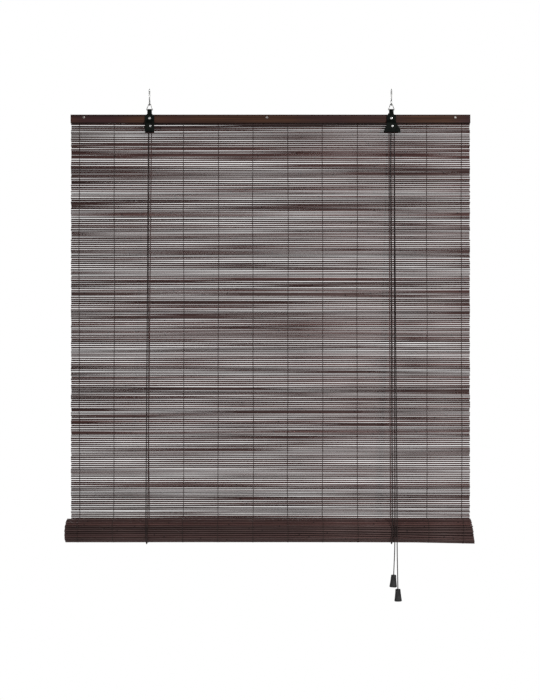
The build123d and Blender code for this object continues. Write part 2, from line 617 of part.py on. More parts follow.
def knob(route):
    """A turned bell-shaped knob with a hole for the cord and a recess for its knot."""
    top, axis = knob_frame(route)
    upper = KNOB_TOP_DIAMETER / 2
    lower = KNOB_BOTTOM_DIAMETER / 2
    bell = Cone(lower, upper, KNOB_HEIGHT)
    rims = bell.edges().filter_by(GeomType.CIRCLE).sort_by(Axis.Z)
    bell = fillet(rims[0], KNOB_EDGE_RADIUS)
    rims = bell.edges().filter_by(GeomType.CIRCLE).sort_by(Axis.Z)
    bell = fillet(rims[-1], KNOB_TOP_EDGE_RADIUS)
    bell -= Cylinder(CORD_R + KNOB_HOLE_CLEARANCE, KNOB_HEIGHT + 2)
    bell -= Pos(0, 0, (KNOB_RECESS_DEPTH - KNOB_HEIGHT) / 2) * Cylinder(KNOB_RECESS_DIAMETER / 2, KNOB_RECESS_DEPTH)
    place = Plane(origin=top + axis * (KNOB_HEIGHT / 2), z_dir=-axis)
    return place * bell


# ---------------------------------------------------------------- the whole blind
def build():
    """Every node of the blind by name."""
    left_up_x = LEFT_AXLE_X - PULLEY_CORD_RADIUS
    right_up_x = RIGHT_AXLE_X - PULLEY_CORD_RADIUS
    down_x = RIGHT_AXLE_X + PULLEY_CORD_RADIUS
    nodes = {
        "left_ceiling_hook": ceiling_hook(LEFT_X),
        "right_ceiling_hook": ceiling_hook(RIGHT_X),
        "left_hanger_ring": hanger_ring(LEFT_X),
        "right_hanger_ring": hanger_ring(RIGHT_X),
        "left_bracket": bracket(LEFT_X, False),
        "right_lock_housing": bracket(RIGHT_X, True),
        "bracket_screws": bracket_screws(),
        "rail_screws": rail_screws(),
        "left_axle_rivet": rivet(LEFT_AXLE_X, AXLE_Z),
        "right_axle_rivet": rivet(RIGHT_AXLE_X, AXLE_Z),
        "cam_rivet": rivet(CAM_X, CAM_Z),
        "left_pulley": left_pulley(),
        "right_pulley": right_pulley(),
        "lock_cam": lock_cam(),
        "head_rail_front": batten(RAIL_FRONT_Y, MAT_FRONT_Y),
        "head_rail_back": back_batten(),
        "heading_slats": heading_slats(),
        "hanging_slats": hanging_slats(),
        "warp_threads": warp_threads(),
        "rolled_mat": rolled_mat(),
        "bottom_batten": bottom_batten(),
        "transfer_cord": transfer_cord(),
        "right_lock_cord": right_lock_cord(),
        "left_anchor_knot": anchor_knot(LEFT_REAR_CORD_TOP_X),
        "right_anchor_knot": anchor_knot(RIGHT_REAR_CORD_TOP_X),
        "left_front_cord": straight_cord(
            (left_up_x, FRONT_GROOVE_Y, CORD_EXIT_Z), (LEFT_CORD_BOTTOM_X, ROLL_FRONT_CORD_Y, ROLL_Z)),
        "right_front_cord": straight_cord(
            (right_up_x, REAR_GROOVE_Y, CORD_EXIT_Z), (RIGHT_CORD_BOTTOM_X, ROLL_FRONT_CORD_Y, ROLL_Z)),
        "left_rear_cord": straight_cord(
            (LEFT_REAR_CORD_TOP_X, CORD_HOLE_Y, RAIL_BOTTOM), (LEFT_CORD_BOTTOM_X, ROLL_REAR_CORD_Y, ROLL_Z)),
        "right_rear_cord": straight_cord(
            (RIGHT_REAR_CORD_TOP_X, CORD_HOLE_Y, RAIL_BOTTOM), (RIGHT_CORD_BOTTOM_X, ROLL_REAR_CORD_Y, ROLL_Z)),
        "left_sling": sling(LEFT_CORD_BOTTOM_X),
        "right_sling": sling(RIGHT_CORD_BOTTOM_X),
        "left_pull_run": straight_cord(
            (down_x, REAR_GROOVE_Y, CORD_EXIT_Z), tail_points(LEFT_TAIL_ROUTE)[0]),
        "right_pull_run": straight_cord(
            (down_x, FRONT_GROOVE_Y, CORD_EXIT_Z), tail_points(RIGHT_TAIL_ROUTE)[0]),
        "left_pull_tail": pull_tail(LEFT_TAIL_ROUTE),
        "right_pull_tail": pull_tail(RIGHT_TAIL_ROUTE),
        "left_knob": knob(LEFT_TAIL_ROUTE),
        "right_knob": knob(RIGHT_TAIL_ROUTE),
    }
    return nodes


os.makedirs("parts", exist_ok=True)
for node_name, node_shape in build().items():
    if isinstance(node_shape, list):
        node_shape = Compound(children=node_shape)
    write(node_name, node_shape)
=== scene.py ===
import json
import math
import random

import bmesh
import bpy
from mathutils import Matrix, Vector


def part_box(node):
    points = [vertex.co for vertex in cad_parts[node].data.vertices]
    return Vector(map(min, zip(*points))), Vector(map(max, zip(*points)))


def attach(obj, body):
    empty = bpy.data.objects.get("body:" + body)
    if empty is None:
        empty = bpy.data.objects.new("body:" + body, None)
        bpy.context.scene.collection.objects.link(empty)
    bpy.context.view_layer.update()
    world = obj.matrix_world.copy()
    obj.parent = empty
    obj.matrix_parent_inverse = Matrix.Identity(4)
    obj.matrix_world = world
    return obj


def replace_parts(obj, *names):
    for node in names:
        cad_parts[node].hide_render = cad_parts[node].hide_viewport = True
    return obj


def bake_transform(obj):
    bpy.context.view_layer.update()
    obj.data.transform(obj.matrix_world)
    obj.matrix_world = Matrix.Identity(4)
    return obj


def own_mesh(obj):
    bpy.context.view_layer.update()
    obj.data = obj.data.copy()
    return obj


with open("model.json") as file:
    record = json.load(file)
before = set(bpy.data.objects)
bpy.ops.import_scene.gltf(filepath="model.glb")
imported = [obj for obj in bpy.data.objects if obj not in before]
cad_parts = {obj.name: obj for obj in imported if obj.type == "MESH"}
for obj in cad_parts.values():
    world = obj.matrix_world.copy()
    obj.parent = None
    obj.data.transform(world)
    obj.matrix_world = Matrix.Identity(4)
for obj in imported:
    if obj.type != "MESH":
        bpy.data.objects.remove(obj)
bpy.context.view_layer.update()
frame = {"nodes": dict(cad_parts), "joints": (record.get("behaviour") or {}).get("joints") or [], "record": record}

MM = 0.001

# ---------------------------------------------------------------- sizes of the blind, in metres
# Heights are measured from the ceiling, and -Y is the side that faces the room.
JOINTS = {joint["name"]: joint for joint in frame["joints"]}
RAIL_LOW, RAIL_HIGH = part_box("head_rail_front")
SLATS_LOW, SLATS_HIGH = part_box("hanging_slats")
BATTEN_LOW, BATTEN_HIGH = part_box("bottom_batten")

RAIL_TOP_Z = RAIL_HIGH[2]
RAIL_BOTTOM_Z = RAIL_LOW[2]
RAIL_HALF_HEIGHT = (RAIL_TOP_Z - RAIL_BOTTOM_Z) / 2
RAIL_LEAST_SHADE_Z = -0.0500                # the height where the rail's painted edge shade is least
BATTEN_HALF_HEIGHT = (BATTEN_HIGH[2] - BATTEN_LOW[2]) / 2
ROLL_Y, ROLL_Z = JOINTS["roll_turn"]["pos_m"][1:]

# The mat: slats of split bamboo, and the pairs of threads twined round them.
MAT_HALF_WIDTH = SLATS_HIGH[0]
MAT_Y = (SLATS_LOW[1] + SLATS_HIGH[1]) / 2
HEADING_SLATS = 4
SLAT_PITCH = (RAIL_TOP_Z - RAIL_BOTTOM_Z) / HEADING_SLATS
HANGING_SLATS = int((RAIL_BOTTOM_Z - ROLL_Z) / SLAT_PITCH)
ROLLED_SLATS = 117
SLAT_HALF_DEPTH = (SLATS_HIGH[1] - SLATS_LOW[1]) / 2
SLAT_HALF_HEIGHT = 0.00215
ROLLED_HALF_HEIGHT = 0.00164
SLAT_CORNERS = 6
SLAT_STATIONS = 7
THREAD_PLACES = 12
MAT_EDGE_TO_THREAD = 0.019
FIRST_THREAD_X = MAT_EDGE_TO_THREAD - MAT_HALF_WIDTH
THREAD_SPACING = -2 * FIRST_THREAD_X / (THREAD_PLACES - 1)
THREAD_RADIUS = 0.00042
THREAD_SWING = 0.00152                # from the middle of the mat to a thread before or behind a slat
THREAD_SIDE_STEP = 0.00048
THREADED_ROLL_SLATS = 37              # a little more than the roll's outer turn

# The roll: a spiral of half circles that step in by half a layer each, wound by hand and so uneven.
ROLL_MID_RADIUS = MAT_Y - ROLL_Y
ROLL_STEP_IN = 0.00165
ROLL_HALF_TURNS = 9
ROLL_WANDER = 0.05                    # radians round the roll
ROLL_PARTING = 0.26                   # how much wider the slats lie apart at the right end
PARTING_START_X = 0.02
PARTING_RUN = 0.43
ROLL_SAG = 0.0030
SAG_START_X = 0.29
SAG_RUN = 0.16

# The cords: where they leave the lock and the pulleys, come out of the rail, and reach the roll.
CORD_RADIUS = 0.0011
CORD_SIDES = 10
KNOT_SIDES = 8
KNOT_TIGHTNESS = 0.86
LOCK_Z = -0.0810
NEAR_GROOVE_Y = -0.0029
FAR_GROOVE_Y = 0.0003
LEFT_GROOVE_X = -0.2742
RIGHT_GROOVE_X = 0.2698
PULL_GROOVE_X = 0.2782
RAIL_HOLE_Y = 0.0164
LEFT_HOLE_X = -0.2685
RIGHT_HOLE_X = 0.2675
ROLL_FRONT_Y = -0.0433094
ROLL_BACK_Y = 0.0144
LEFT_SLING_X = -0.277
RIGHT_SLING_X = 0.271
LEFT_PULL_X = 0.2769
RIGHT_PULL_X = 0.2817

KNOB_HEIGHT = 0.0275
KNOB_FLUTES = 16
FLUTE_DEPTH = 0.00042
KNOT_IN_KNOB = 0.0092                 # from the knob's lower rim up to its knot

HOOK_X = frame["record"]["mounts"][0]["dims"]["spacing_x_mm"] / 2 * MM
HOOK_THREAD_PITCH = 0.0015
HOOK_THREAD_TURNS = 11
HOOK_THREAD_START_Z = 0.0006
BRACKET_ROUND_OVER = 0.00022

FLOOR_Z = -2.9
FLOOR_RADIUS = 3.0
LIGHT_TARGET = (0, 0, -0.5)


# ---------------------------------------------------------------- making pieces
def link(name, mesh):
    """A mesh object in the scene."""
    piece = bpy.data.objects.new(name, mesh)
    bpy.context.collection.objects.link(piece)
    return piece


def finish_piece(name, bm, material, body, smooth=True):
    """Turns a bmesh into a piece of the blind, with its finish, riding on its body."""
    mesh = bpy.data.meshes.new(name)
    bm.to_mesh(mesh)
    bm.free()
    if smooth:
        mesh.shade_smooth()
    else:
        mesh.shade_flat()
    piece = link(name, mesh)
    piece.data.materials.append(material)
    if body:
        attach(piece, body)
    return piece


def shorten(piece):
    """Gives a piece its own copy of its mesh."""
    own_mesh(piece)


def smooth_line(name, route):
    """Points along the smooth curve that a cord takes over its route, from end to end."""
    curve = bpy.data.curves.new(name, "CURVE")
    curve.dimensions = "3D"
    spline = curve.splines.new("NURBS")
    spline.points.add(len(route) - 1)
    for point, place in zip(spline.points, route):
        point.co = (*place, 1)
    spline.order_u = 3
    spline.use_endpoint_u = True
    holder = link(name, curve)
    bpy.context.view_layer.update()
    shown = holder.evaluated_get(bpy.context.evaluated_depsgraph_get())
    mesh = bpy.data.meshes.new_from_object(shown)
    line = [vertex.co.copy() for vertex in mesh.vertices]
    bpy.data.objects.remove(holder)
    bpy.data.meshes.remove(mesh)
    return line


def ring_frames(line):
    """A matrix for every point of a line, its Z along the line, turning no more than the line does."""
    last = len(line) - 1
    ways = [(line[min(i + 1, last)] - line[max(i - 1, 0)]).normalized() for i in range(last + 1)]
    turn = ways[0].to_track_quat("Z", "X")
    frames = []
    for index, way in enumerate(ways):
        if index:
            turn = ways[index - 1].rotation_difference(way) @ turn
        frames.append(Matrix.Translation(line[index]) @ turn.to_matrix().to_4x4())
    return frames


def tube_mesh():
    """An empty bmesh, and the layer in which a tube keeps where each vertex lies round and along it."""
    bm = bmesh.new()
    return bm, bm.verts.layers.float_vector.new("lay")


def sweep_tube(bm, line, radius, sides, lay):
    """A closed round tube along a line."""
    frames = ring_frames(line)
    made = bmesh.ops.create_circle(bm, segments=sides, radius=radius, matrix=frames[0])
    ring = made["verts"]
    edges = list({edge for vertex in ring for edge in vertex.link_edges})
    first_edges = edges
    run = 0.0
    for index, here in enumerate(frames):
        if index:
            made = bmesh.ops.extrude_edge_only(bm, edges=edges)["geom"]
            ring = [item for item in made if isinstance(item, bmesh.types.BMVert)]
            around = set(ring)
            edges = [item for item in made if isinstance(item, bmesh.types.BMEdge)
                     and item.verts[0] in around and item.verts[1] in around]
            bmesh.ops.transform(bm, matrix=here @ frames[index - 1].inverted(), verts=ring)
            run += (line[index] - line[index - 1]).length
        back = here.inverted()
        for vertex in ring:
            place = back @ vertex.co
            vertex[lay] = (place.x / radius, place.y / radius, run)
    bmesh.ops.contextual_create(bm, geom=first_edges)
    bmesh.ops.contextual_create(bm, geom=edges)


# ---------------------------------------------------------------- building materials
def add_node(tree, kind, settings=None, inputs=None):
    """A node in a tree, with its settings, and its inputs set or linked by name or number."""
    node = tree.nodes.new(kind)
    for key, value in (settings or {}).items():
        setattr(node, key, value)
    for key, value in (inputs or {}).items():
        if isinstance(value, bpy.types.NodeSocket):
            tree.links.new(value, node.inputs[key])
        else:
            node.inputs[key].default_value = value
    return node


def math_node(tree, operation, *values):
    """The result of a Math node."""
    node = add_node(tree, "ShaderNodeMath", {"operation": operation}, dict(enumerate(values)))
    return node.outputs[0]


def map_range(tree, value, low, high, to_low=0.0, to_high=1.0):
    """A value brought from one range to another, smooth at both ends."""
    node = add_node(tree, "ShaderNodeMapRange", {"interpolation_type": "SMOOTHSTEP"},
                    {0: value, 1: low, 2: high, 3: to_low, 4: to_high})
    return node.outputs[0]


def mix_colour(tree, share, first, second, blend="MIX"):
    """Two colours mixed by a share."""
    node = add_node(tree, "ShaderNodeMix", {"data_type": "RGBA", "blend_type": blend},
                    {0: share, 6: first, 7: second})
    return node.outputs[2]


def new_group(name, sockets_in, sockets_out):
    """An empty node group with named inputs and outputs."""
    tree = bpy.data.node_groups.new(name, "ShaderNodeTree")
    for socket, kind, value in sockets_in:
        made = tree.interface.new_socket(socket, in_out="INPUT", socket_type=kind)
        if value is not None:
            made.default_value = value
    for socket, kind in sockets_out:
        tree.interface.new_socket(socket, in_out="OUTPUT", socket_type=kind)
    return tree, tree.nodes.new("NodeGroupInput"), tree.nodes.new("NodeGroupOutput")


def use_group(tree, group, inputs):
    """A node group placed in a material."""
    return add_node(tree, "ShaderNodeGroup", {"node_tree": group}, inputs)


def wood_grain_group():
    """Long streaks with fine pores, for wood and bamboo."""
    tree, given, out = new_group(
        "wood_grain",
        (("Place", "NodeSocketVector", None), ("Along", "NodeSocketFloat", 6.0),
         ("Across", "NodeSocketFloat", 300.0)),
        (("Tone", "NodeSocketFloat"), ("Pores", "NodeSocketFloat"), ("Height", "NodeSocketFloat")),
    )
    stretch = add_node(tree, "ShaderNodeCombineXYZ", inputs={
        0: given.outputs["Along"], 1: given.outputs["Across"], 2: given.outputs["Across"]})
    place = add_node(tree, "ShaderNodeVectorMath", {"operation": "MULTIPLY"},
                     {0: given.outputs["Place"], 1: stretch.outputs[0]})
    broad = add_node(tree, "ShaderNodeTexNoise", inputs={
        "Vector": place.outputs[0], "Scale": 1.0, "Detail": 5.0, "Roughness": 0.6, "Distortion": 0.3})
    fine = add_node(tree, "ShaderNodeTexNoise", inputs={
        "Vector": place.outputs[0], "Scale": 4.5, "Detail": 3.0, "Roughness": 0.55})
    pores = map_range(tree, fine.outputs[0], 0.56, 0.70)
    tone = map_range(tree, broad.outputs[0], 0.30, 0.70)
    height = math_node(tree, "SUBTRACT", broad.outputs[0], math_node(tree, "MULTIPLY", pores, 0.5))
    tree.links.new(tone, out.inputs["Tone"])
    tree.links.new(pores, out.inputs["Pores"])
    tree.links.new(height, out.inputs["Height"])
    return tree


def braid_group():
    """The crossing strands of a plaited or twisted cord, from where a point lies round and along it."""
    tree, given, out = new_group(
        "braid",
        (("Lay", "NodeSocketVector", None), ("Strands", "NodeSocketFloat", 4.0),
         ("Pitch", "NodeSocketFloat", 0.006), ("Both ways", "NodeSocketFloat", 1.0)),
        (("Height", "NodeSocketFloat"), ("Fuzz", "NodeSocketFloat")),
    )
    parts = add_node(tree, "ShaderNodeSeparateXYZ", inputs={0: given.outputs["Lay"]})
    angle = math_node(tree, "ARCTAN2", parts.outputs[1], parts.outputs[0])
    around = math_node(tree, "MULTIPLY", angle, given.outputs["Strands"])
    turns = math_node(tree, "DIVIDE", parts.outputs[2], given.outputs["Pitch"])
    along = math_node(tree, "MULTIPLY", turns, 2 * math.pi)
    right = math_node(tree, "SINE", math_node(tree, "ADD", around, along))
    left = math_node(tree, "SINE", math_node(tree, "SUBTRACT", around, along))
    other = add_node(tree, "ShaderNodeMix", {"data_type": "FLOAT"}, {
        0: given.outputs["Both ways"], 2: right, 3: left})
    height = map_range(tree, math_node(tree, "MAXIMUM", right, other.outputs[0]), -0.9, 1.0)
    place = add_node(tree, "ShaderNodeVectorMath", {"operation": "MULTIPLY"},
                     {0: given.outputs["Lay"], 1: (2.0, 2.0, 1400.0)})
    fuzz = add_node(tree, "ShaderNodeTexNoise", inputs={
        "Vector": place.outputs[0], "Scale": 1.0, "Detail": 3.0})
    tree.links.new(height, out.inputs["Height"])
    tree.links.new(fuzz.outputs[0], out.inputs["Fuzz"])
    return tree


def handling_group():
    """Uneven gloss, small scratches and dust from handling."""
    tree, given, out = new_group(
        "handling",
        (("Place", "NodeSocketVector", None), ("Size", "NodeSocketFloat", 60.0),
         ("Chips", "NodeSocketFloat", 0.68)),
        (("Gloss", "NodeSocketFloat"), ("Chip", "NodeSocketFloat"), ("Height", "NodeSocketFloat"),
         ("Dust", "NodeSocketFloat")),
    )
    broad = add_node(tree, "ShaderNodeTexNoise", inputs={
        "Vector": given.outputs["Place"], "Scale": given.outputs["Size"], "Detail": 4.0})
    finer = math_node(tree, "MULTIPLY", given.outputs["Size"], 9.0)
    fine = add_node(tree, "ShaderNodeTexNoise", inputs={
        "Vector": given.outputs["Place"], "Scale": finer, "Detail": 5.0, "Roughness": 0.7})
    both = math_node(tree, "MULTIPLY", math_node(tree, "ADD", broad.outputs[0], fine.outputs[0]), 0.5)
    edge = math_node(tree, "ADD", given.outputs["Chips"], 0.03)
    chip = add_node(tree, "ShaderNodeMapRange", inputs={0: both, 1: given.outputs["Chips"], 2: edge})
    tree.links.new(map_range(tree, broad.outputs[0], 0.35, 0.65), out.inputs["Gloss"])
    tree.links.new(chip.outputs[0], out.inputs["Chip"])
    tree.links.new(fine.outputs[0], out.inputs["Height"])
    tree.links.new(map_range(tree, fine.outputs[0], 0.55, 0.75), out.inputs["Dust"])
    return tree


WOOD_GRAIN = wood_grain_group()
BRAID = braid_group()
HANDLING = handling_group()


def new_material(name, **uniform):
    """A material with its shader, and the values that are the same all over it."""
    material = bpy.data.materials.new(name)
    material.use_nodes = True
    shader = material.node_tree.nodes["Principled BSDF"]
    for socket, value in uniform.items():
        shader.inputs[socket.replace("_", " ")].default_value = value
    return material, material.node_tree, shader


def feed(tree, shader, colour=None, roughness=None, metallic=None, height=None, depth=0.0001, strength=0.6):
    """Links what changes over the surface into the shader."""
    for socket, value in (("Base Color", colour), ("Roughness", roughness), ("Metallic", metallic)):
        if value is not None:
            tree.links.new(value, shader.inputs[socket])
    if height is not None:
        bump = add_node(tree, "ShaderNodeBump", inputs={
            "Height": height, "Distance": depth, "Strength": strength})
        tree.links.new(bump.outputs[0], shader.inputs["Normal"])


def object_place(tree):
    return add_node(tree, "ShaderNodeTexCoord").outputs["Object"]


def attribute(tree, name):
    return add_node(tree, "ShaderNodeAttribute", {"attribute_name": name}).outputs["Vector"]


def stained_bamboo():
    """Dark stained split bamboo: each slat has its own tone, streaks along it and a few joints."""
    material, tree, shader = new_material("stained_bamboo", Specular_IOR_Level=0.22)
    place = add_node(tree, "ShaderNodeSeparateXYZ", inputs={0: object_place(tree)})
    own = add_node(tree, "ShaderNodeSeparateXYZ", inputs={0: attribute(tree, "slat")})
    seed = own.outputs[0]
    shift = math_node(tree, "MULTIPLY", seed, 41.0)
    streak_y = math_node(tree, "ADD", shift, math_node(tree, "MULTIPLY", own.outputs[1], 0.0020))
    streak_z = math_node(tree, "MULTIPLY", own.outputs[2], 0.0020)
    grain_place = add_node(tree, "ShaderNodeCombineXYZ", inputs={
        0: place.outputs[0], 1: streak_y, 2: streak_z})
    grain = use_group(tree, WOOD_GRAIN, {"Place": grain_place.outputs[0], "Along": 9.0, "Across": 700.0})
    joint_run = math_node(tree, "ADD", math_node(tree, "MULTIPLY", place.outputs[0], 3.1), shift)
    joint = map_range(tree, math_node(tree, "PINGPONG", joint_run, 0.5), 0.4935, 0.4985)
    own_tone = add_node(tree, "ShaderNodeTexWhiteNoise", {"noise_dimensions": "1D"}, {"W": shift})
    tone = math_node(tree, "ADD", math_node(tree, "MULTIPLY", grain.outputs["Tone"], 0.45),
                     math_node(tree, "MULTIPLY", own_tone.outputs[0], 0.55))
    stained = mix_colour(tree, tone, (0.0200, 0.0106, 0.0098, 1), (0.1190, 0.0720, 0.0670, 1))
    with_pores = mix_colour(tree, math_node(tree, "MULTIPLY", grain.outputs["Pores"], 0.45), stained,
                            (0.0090, 0.0052, 0.0046, 1))
    redder = map_range(tree, add_node(tree, "ShaderNodeTexWhiteNoise", {"noise_dimensions": "1D"}, {
        "W": math_node(tree, "ADD", shift, 7.3)}).outputs[0], 0.60, 0.95, 0.0, 0.55)
    reddish = mix_colour(tree, redder, with_pores, (1.0, 0.62, 0.58, 1), "MULTIPLY")
    colour = mix_colour(tree, math_node(tree, "MULTIPLY", joint, 0.7), reddish, (0.0070, 0.0042, 0.0036, 1))
    rough = map_range(tree, grain.outputs["Tone"], 0.0, 1.0, 0.62, 0.44)
    height = math_node(tree, "ADD", grain.outputs["Height"], math_node(tree, "MULTIPLY", joint, 1.4))
    feed(tree, shader, colour, rough, None, height, 0.00012, 0.7)
    return material


def stained_wood(name, middle_z, half_height):
    """Brown stained hardwood with long grain, with painted shade that darkens it towards its top and bottom edges.
    """
    material, tree, shader = new_material(name, Specular_IOR_Level=0.11, Coat_Weight=0.015,
                                          Coat_Roughness=0.42)
    place = object_place(tree)
    parts = add_node(tree, "ShaderNodeSeparateXYZ", inputs={0: place})
    # Painted shade: the colour darkens towards the top and bottom edges of the wood, standing in for the shade
    # that falls along them.
    off_middle = math_node(tree, "ABSOLUTE", math_node(tree, "SUBTRACT", parts.outputs[2], middle_z))
    edge = map_range(tree, off_middle, half_height * 0.55, half_height, 0.0, 0.62)
    grain = use_group(tree, WOOD_GRAIN, {"Place": place, "Along": 6.0, "Across": 620.0})
    broad = use_group(tree, WOOD_GRAIN, {"Place": place, "Along": 1.5, "Across": 210.0})
    tone = math_node(tree, "ADD", math_node(tree, "MULTIPLY", grain.outputs["Tone"], 0.45),
                     math_node(tree, "MULTIPLY", broad.outputs["Tone"], 0.55))
    warm = mix_colour(tree, tone, (0.0160, 0.0058, 0.0036, 1), (0.0740, 0.0300, 0.0145, 1))
    purple = mix_colour(tree, tone, (0.0130, 0.0045, 0.0050, 1), (0.0440, 0.0165, 0.0165, 1))
    patches = add_node(tree, "ShaderNodeTexNoise", inputs={"Vector": place, "Scale": 4.2, "Detail": 1.5})
    stained = mix_colour(tree, map_range(tree, patches.outputs[0], 0.44, 0.60), purple, warm)
    with_pores = mix_colour(tree, math_node(tree, "MULTIPLY", grain.outputs["Pores"], 0.6), stained,
                            (0.0080, 0.0042, 0.0030, 1))
    # The painted edge shade laid over the wood's colour.
    colour = mix_colour(tree, edge, with_pores, (0.0120, 0.0062, 0.0052, 1))
    rough = map_range(tree, grain.outputs["Tone"], 0.0, 1.0, 0.64, 0.48)
    feed(tree, shader, colour, rough, None, grain.outputs["Height"], 0.00010, 0.6)
    return material


def cord_material(name, dark, light, strands, pitch, both_ways):
    """A braided or twisted cord, with painted shade that darkens it between its strands."""
    material, tree, shader = new_material(name, Specular_IOR_Level=0.14, Sheen_Weight=0.05,
                                          Sheen_Roughness=0.5)
    braid = use_group(tree, BRAID, {"Lay": attribute(tree, "lay"), "Strands": strands, "Pitch": pitch,
                                    "Both ways": both_ways})
    # Painted shade: the colour follows the braid's height, darker in the grooves between the strands, with the
    # fibres' fuzz varying it.
    shade = math_node(tree, "MULTIPLY", braid.outputs["Height"],
                      map_range(tree, braid.outputs["Fuzz"], 0.3, 0.7, 0.65, 1.0))
    colour = mix_colour(tree, shade, dark, light)
    rough = map_range(tree, braid.outputs["Height"], 0.0, 1.0, 0.95, 0.72)
    height = math_node(tree, "ADD", braid.outputs["Height"],
                       math_node(tree, "MULTIPLY", braid.outputs["Fuzz"], 0.3))
    feed(tree, shader, colour, rough, None, height, 0.00025, 0.8)
    return material


def enamelled_steel():
    """Nearly black green enamel on pressed steel, thin and chipped here and there."""
    material, tree, shader = new_material("enamelled_steel", Specular_IOR_Level=0.05, Coat_Weight=0.01,
                                          Coat_Roughness=0.25)
    wear = use_group(tree, HANDLING, {"Place": object_place(tree), "Size": 120.0, "Chips": 0.67})
    enamel = mix_colour(tree, wear.outputs["Gloss"], (0.0015, 0.0024, 0.0017, 1),
                        (0.0044, 0.0058, 0.0045, 1))
    colour = mix_colour(tree, wear.outputs["Chip"], enamel, (0.16, 0.16, 0.15, 1))
    rough = map_range(tree, wear.outputs["Gloss"], 0.0, 1.0, 0.44, 0.62)
    feed(tree, shader, colour, rough, wear.outputs["Chip"], wear.outputs["Height"], 0.00006, 0.5)
    return material


def bright_metal(name, dull, bright, low, high, size):
    """Plated or drawn steel with cloudy patches and fine scratches."""
    material, tree, shader = new_material(name, Metallic=1.0)
    wear = use_group(tree, HANDLING, {"Place": object_place(tree), "Size": size, "Chips": 0.62})
    patches = mix_colour(tree, wear.outputs["Gloss"], dull, bright)
    dusty = math_node(tree, "MULTIPLY", wear.outputs["Dust"], 0.35)
    colour = mix_colour(tree, dusty, patches, (0.09, 0.085, 0.08, 1))
    rough = map_range(tree, wear.outputs["Gloss"], 0.0, 1.0, high, low)
    feed(tree, shader, colour, rough, None, wear.outputs["Height"], 0.00005, 0.4)
    return material


def moulded(name, dark, light, low, high, size, subsurface=0.0):
    """Moulded plastic: an even colour with faint clouding, a fine texture and a little dust."""
    material, tree, shader = new_material(name, Specular_IOR_Level=0.30, Subsurface_Weight=subsurface)
    wear = use_group(tree, HANDLING, {"Place": object_place(tree), "Size": size, "Chips": 0.70})
    clouded = mix_colour(tree, wear.outputs["Gloss"], dark, light)
    dusty = math_node(tree, "MULTIPLY", wear.outputs["Dust"], 0.18)
    colour = mix_colour(tree, dusty, clouded, (0.14, 0.13, 0.12, 1))
    rough = map_range(tree, wear.outputs["Gloss"], 0.0, 1.0, low, high)
    feed(tree, shader, colour, rough, None, wear.outputs["Height"], 0.00006, 0.5)
    return material


BAMBOO = stained_bamboo()
RAIL_WOOD = stained_wood("rail_wood", RAIL_LEAST_SHADE_Z, RAIL_HALF_HEIGHT)
BATTEN_WOOD = stained_wood("batten_wood", ROLL_Z, BATTEN_HALF_HEIGHT)
THREAD = cord_material("warp_thread", (0.0080, 0.0048, 0.0042, 1), (0.0620, 0.0420, 0.0360, 1),
                       strands=3.0, pitch=0.0026, both_ways=0.0)
CORD = cord_material("cord_braid", (0.0040, 0.0026, 0.0025, 1), (0.0260, 0.0170, 0.0160, 1),
                     strands=4.0, pitch=0.0060, both_ways=1.0)
ENAMEL = enamelled_steel()
CAM_STEEL = bright_metal("cam_steel", (0.035, 0.035, 0.035, 1), (0.07, 0.07, 0.068, 1),
                         low=0.38, high=0.55, size=150.0)
ZINC = bright_metal("zinc_steel", (0.48, 0.48, 0.47, 1), (0.72, 0.72, 0.70, 1),
                    low=0.28, high=0.45, size=180.0)
DULL_ZINC = bright_metal("dull_zinc_steel", (0.20, 0.18, 0.17, 1), (0.36, 0.33, 0.31, 1),
                         low=0.36, high=0.52, size=180.0)
WIRE = bright_metal("wire_steel", (0.26, 0.26, 0.255, 1), (0.44, 0.44, 0.43, 1),
                    low=0.30, high=0.45, size=140.0)
NYLON = moulded("pulley_nylon", (0.62, 0.60, 0.53, 1), (0.72, 0.70, 0.64, 1),
                low=0.34, high=0.48, size=200.0, subsurface=0.15)
KNOB_PLASTIC = moulded("knob_plastic", (0.0100, 0.0100, 0.0104, 1), (0.0170, 0.0170, 0.0174, 1),
                       low=0.36, high=0.52, size=90.0)


# ---------------------------------------------------------------- camera
def add_camera():
    """Straight in front of the blind, level, about 4 m away."""
    data = bpy.data.cameras.new("camera")
    data.sensor_width = 36
    data.lens = 91.2
    camera = link("camera", data)
    camera.location = (-0.001, -3.988, -0.570)
    camera.rotation_euler = (math.radians(90), 0, 0)
    bpy.context.scene.camera = camera


add_camera()


# ---------------------------------------------------------------- cords
def cord_piece(name, route, body, held_z=None):
    """A tight cord over its route, in the place of its CAD node. One with a held height gets its own copy of its
    mesh.
    """
    line = smooth_line(name, [Vector(point) for point in route])
    bm, lay = tube_mesh()
    sweep_tube(bm, line, CORD_RADIUS, CORD_SIDES, lay)
    piece = finish_piece(name + "_braid", bm, CORD, body)
    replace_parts(piece, name)
    if held_z is not None:
        shorten(piece)


def front_cords():
    """From the pulleys and the lock down to the front of the roll, bowed forward to pass over its rim."""
    cord_piece("left_front_cord", (
        (LEFT_GROOVE_X, NEAR_GROOVE_Y, LOCK_Z), (-0.2743, -0.0034, -0.0942), (-0.2749, -0.0125, -0.2860),
        (-0.2756, -0.0238, -0.5300), (-0.2763, -0.0362, -0.7400), (-0.2766, -0.0405, -0.8300),
        (-0.2769, -0.0430, -0.9000), (LEFT_SLING_X, ROLL_FRONT_Y, ROLL_Z)), "head_rail", LOCK_Z)
    cord_piece("right_front_cord", (
        (RIGHT_GROOVE_X, FAR_GROOVE_Y, LOCK_Z), (0.2698, -0.0004, -0.0942), (0.2701, -0.0105, -0.3020),
        (0.2705, -0.0215, -0.5250), (0.2708, -0.0358, -0.7400), (0.2709, -0.0403, -0.8300),
        (0.2710, -0.0430, -0.9000), (RIGHT_SLING_X, ROLL_FRONT_Y, ROLL_Z)), "head_rail", LOCK_Z)


